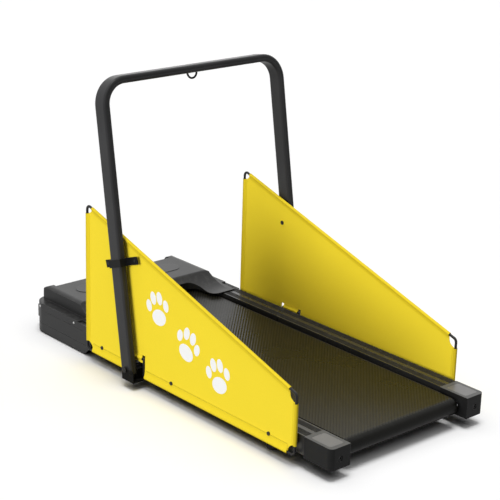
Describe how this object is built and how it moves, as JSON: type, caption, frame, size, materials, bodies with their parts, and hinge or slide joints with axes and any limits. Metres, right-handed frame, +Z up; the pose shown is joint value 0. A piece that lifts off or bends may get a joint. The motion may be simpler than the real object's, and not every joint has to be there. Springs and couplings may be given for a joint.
{
  "type": "dog treadmill",
  "caption": "Motor-driven dog treadmill: low belt deck between foot rails, front motor hood, cloth side panels on rod frames and a folding leash arch.",
  "frame": {"origin": "on the floor, under the middle of the bounding box", "axes": "+X along the deck from the motor hood to the entry end, +Y across the belt to the right side, +Z up"},
  "size_m": [1.436, 0.732, 0.9359],
  "materials": {
    "frame_steel": "black powder coat",
    "rail_black": "black anodised extrusion, fine lengthwise grain",
    "grip_rubber": "matt with fine ribs",
    "deck_wood": "sanded fibreboard with a waxed face",
    "soft_rubber": "matt moulded",
    "belt_rubber": "fine slanting ribs",
    "bright_steel": "turned",
    "pulley_aluminium": "turned",
    "flywheel_iron": "machined casting",
    "cap_plastic": "satin moulded",
    "plate_grey": "satin printed film, bare",
    "motor_paint": "black enamel",
    "drive_belt_rubber": "matt ribbed",
    "board_green": "printed board with fitted parts",
    "hood_plastic": "satin moulded, fine grain",
    "shell_plastic": "satin moulded, fine grain",
    "bumper_rubber": "matt moulded",
    "oval_gloss": "polished, bare",
    "socket_plastic": "moulded",
    "rocker_red": "polished",
    "wheel_plastic": "moulded",
    "arch_paint": "satin black powder coat",
    "plug_plastic": "moulded",
    "ring_steel": "black plated rod",
    "strap_plastic": "moulded",
    "dark_screw": "black oxide",
    "rod_paint": "satin black",
    "yellow_cloth": "tight plain weave with a light sheen",
    "spacer_plastic": "moulded"
  },
  "bodies": {
    "frame": {"side_beam_left": "frame_steel", "side_beam_right": "frame_steel", "front_cross_tube": "frame_steel", "middle_cross_tube": "frame_steel", "rear_cross_tube": "frame_steel", "motor_tray": "frame_steel", "foot_rail_left": "rail_black", "foot_rail_right": "rail_black", "grip_strips_left": "grip_rubber", "grip_strips_right": "grip_rubber", "deck_board": "deck_wood", "deck_cushions": "soft_rubber", "machine_feet": "soft_rubber", "walking_belt": "belt_rubber", "drive_axle": "bright_steel", "drive_bearings": "bright_steel", "rear_axle": "bright_steel", "rear_bearings": "bright_steel", "housing_screws": "bright_steel", "wheel_pins": "bright_steel", "end_cap_left": "cap_plastic", "end_cap_right": "cap_plastic", "cap_plates": "plate_grey", "drive_motor": "motor_paint", "drive_belt": "drive_belt_rubber", "control_board": "board_green", "hood_cover": "hood_plastic", "lower_shell": "shell_plastic", "belly_pan": "shell_plastic", "front_bumper": "bumper_rubber", "oval_panel": "oval_gloss", "power_socket": "socket_plastic", "arch_shoe_left": "arch_paint", "arch_shoe_right": "arch_paint", "pivot_bolts": "dark_screw", "panel_screws": "dark_screw", "panel_studs": "dark_screw", "panel_frame_left": "rod_paint", "panel_frame_right": "rod_paint", "panel_cloth_left": "yellow_cloth", "panel_cloth_right": "yellow_cloth", "panel_spacers": "spacer_plastic"},
    "drive_roller": {"drive_roller": "bright_steel", "roller_pulley": "pulley_aluminium"},
    "rear_roller": {"rear_roller": "bright_steel"},
    "motor_rotor": {"motor_shaft": "bright_steel", "flywheel": "flywheel_iron", "motor_pulley": "pulley_aluminium"},
    "leash_arch": {"arch_tube": "arch_paint", "tube_plugs": "plug_plastic", "leash_ring": "ring_steel", "clamp_straps": "strap_plastic", "clamp_screws": "dark_screw"},
    "left_wheel": {"transport_wheel_left": "wheel_plastic"},
    "right_wheel": {"transport_wheel_right": "wheel_plastic"},
    "rocker": {"power_rocker": "rocker_red"},
    "breaker": {"breaker_button": "socket_plastic"},
    "left_tensioner": {"tension_bolt_left": "bright_steel"},
    "right_tensioner": {"tension_bolt_right": "bright_steel"}
  },
  "joints": [
    {"name": "drive_roller_spin", "type": "hinge", "parent": "frame", "child": "drive_roller", "pos_m": [-0.5, 0, 0.064], "axis": [0, 1, 0], "continuous": true},
    {"name": "rear_roller_spin", "type": "hinge", "parent": "frame", "child": "rear_roller", "pos_m": [0.67, 0, 0.064], "axis": [0, 1, 0], "continuous": true},
    {"name": "motor_spin", "type": "hinge", "parent": "frame", "child": "motor_rotor", "pos_m": [-0.606, 0, 0.071], "axis": [0, 1, 0], "continuous": true},
    {"name": "arch_fold", "type": "hinge", "parent": "frame", "child": "leash_arch", "pos_m": [-0.13, 0, 0.058], "axis": [0, 1, 0], "range_deg": [0, 90]},
    {"name": "left_wheel_spin", "type": "hinge", "parent": "frame", "child": "left_wheel", "pos_m": [-0.672, -0.23, 0.025], "axis": [0, 1, 0], "continuous": true},
    {"name": "right_wheel_spin", "type": "hinge", "parent": "frame", "child": "right_wheel", "pos_m": [-0.672, 0.23, 0.025], "axis": [0, 1, 0], "continuous": true},
    {"name": "rocker_tilt", "type": "hinge", "parent": "frame", "child": "rocker", "pos_m": [-0.704, 0.16024, 0.0876], "axis": [0, 1, 0], "range_deg": [-8, 8]},
    {"name": "breaker_push", "type": "slide", "parent": "frame", "child": "breaker", "axis": [1, 0, 0], "range_m": [0, 0.002], "stiffness_N_per_m": 400},
    {"name": "left_tension_turn", "type": "hinge", "parent": "frame", "child": "left_tensioner", "pos_m": [0.67, -0.273, 0.064], "axis": [1, 0, 0], "range_deg": [-360, 360]},
    {"name": "right_tension_turn", "type": "hinge", "parent": "frame", "child": "right_tensioner", "pos_m": [0.67, 0.273, 0.064], "axis": [1, 0, 0], "range_deg": [-360, 360]}
  ],
  "couplings": [
    {"joint": "rear_roller_spin", "follows": "drive_roller_spin", "ratio": 1},
    {"joint": "motor_spin", "follows": "drive_roller_spin", "ratio": 2.8333}
  ]
}
